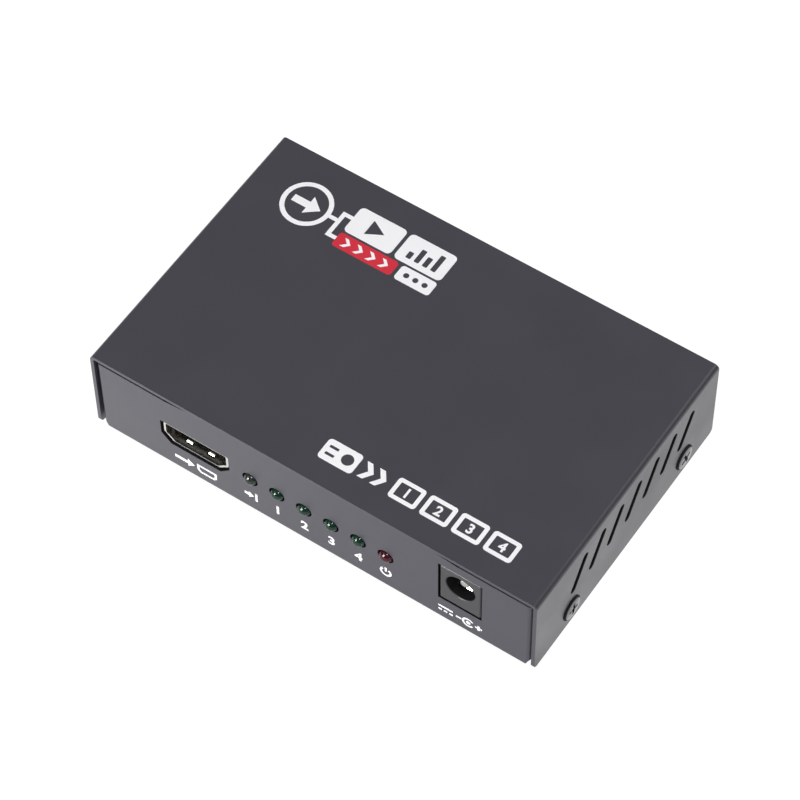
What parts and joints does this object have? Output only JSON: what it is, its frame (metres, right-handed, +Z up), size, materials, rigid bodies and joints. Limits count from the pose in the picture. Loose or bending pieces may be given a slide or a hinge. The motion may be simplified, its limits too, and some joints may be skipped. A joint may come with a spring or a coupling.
{
  "type": "video signal splitter",
  "caption": "Small folded steel box that copies one digital video input to several outputs, with a power jack, status lamps and slanted side vents.",
  "frame": {"origin": "bottom centre of the overall box, in the plane of the rubber feet", "axes": "+X along the front panel from the input socket to the power jack, +Y from the front panel to the output sockets, +Z up through the cover's top"},
  "size_m": [0.101, 0.065, 0.024],
  "materials": {
    "case_paint": "satin dark charcoal paint on folded steel",
    "black_screw": "black finish steel screw",
    "foot_rubber": "matt black",
    "plain_steel": "zinc plated",
    "board_green": "green solder mask on glass fibre",
    "nickel_shell": "bright nickel plate",
    "black_moulding": "black moulding",
    "gold_contact": "gold flash",
    "tinned_lead": "tinned",
    "led_smoke": "dark clear resin",
    "led_green": "green tinted clear resin, unlit",
    "led_red": "red tinted clear resin, unlit",
    "jack_moulding": "black moulding",
    "nickel_contact": "bright nickel plate",
    "chip_black": "black epoxy",
    "pad_grey": "soft grey pad",
    "black_aluminium": "black anodised",
    "plain_aluminium": "plain can",
    "coil_grey": "ferrite",
    "fuse_green": "green coated fuse",
    "mlcc_tan": "tan ceramic",
    "resistor_black": "black glaze"
  },
  "bodies": {
    "case": {"top_cover": "case_paint", "chassis": "case_paint", "cover_screws": "black_screw", "rubber_feet": "foot_rubber", "standoffs": "plain_steel", "board_screws": "plain_steel", "circuit_board": "board_green", "input_shell": "nickel_shell", "input_insulator": "black_moulding", "input_contacts": "gold_contact", "output_1_shell": "nickel_shell", "output_1_insulator": "black_moulding", "output_1_contacts": "gold_contact", "output_2_shell": "nickel_shell", "output_2_insulator": "black_moulding", "output_2_contacts": "gold_contact", "output_3_shell": "nickel_shell", "output_3_insulator": "black_moulding", "output_3_contacts": "gold_contact", "output_4_shell": "nickel_shell", "output_4_insulator": "black_moulding", "output_4_contacts": "gold_contact", "led_leads": "tinned_lead", "led_input": "led_smoke", "led_1": "led_green", "led_2": "led_green", "led_3": "led_green", "led_4": "led_green", "led_power": "led_red", "dc_jack_body": "jack_moulding", "dc_jack_pin": "nickel_contact", "dc_jack_sleeve_tab": "nickel_contact", "dc_jack_switch_tab": "nickel_contact", "splitter_chip": "chip_black", "splitter_chip_leads": "tinned_lead", "thermal_pad": "pad_grey", "heatsink": "black_aluminium", "memory_chips": "chip_black", "memory_chip_leads": "tinned_lead", "voltage_regulators": "chip_black", "regulator_leads": "tinned_lead", "capacitor_cans": "plain_aluminium", "capacitor_bases": "black_moulding", "power_coil": "coil_grey", "input_fuse": "fuse_green", "input_diode": "chip_black", "crystal": "plain_steel", "power_part_ends": "tinned_lead", "port_guards": "chip_black", "chip_capacitors": "mlcc_tan", "chip_resistors": "resistor_black", "chip_part_ends": "tinned_lead"},
    "sleeve_leaf": {"dc_jack_leaf": "nickel_contact"}
  },
  "joints": [
    {"name": "sleeve_leaf_flex", "type": "hinge", "parent": "case", "child": "sleeve_leaf", "pos_m": [0.0334, -0.02105, 0.01115], "axis": [1, 0, 0], "range_deg": [0, 5], "stiffness_Nm_per_rad": 0.2}
  ]
}
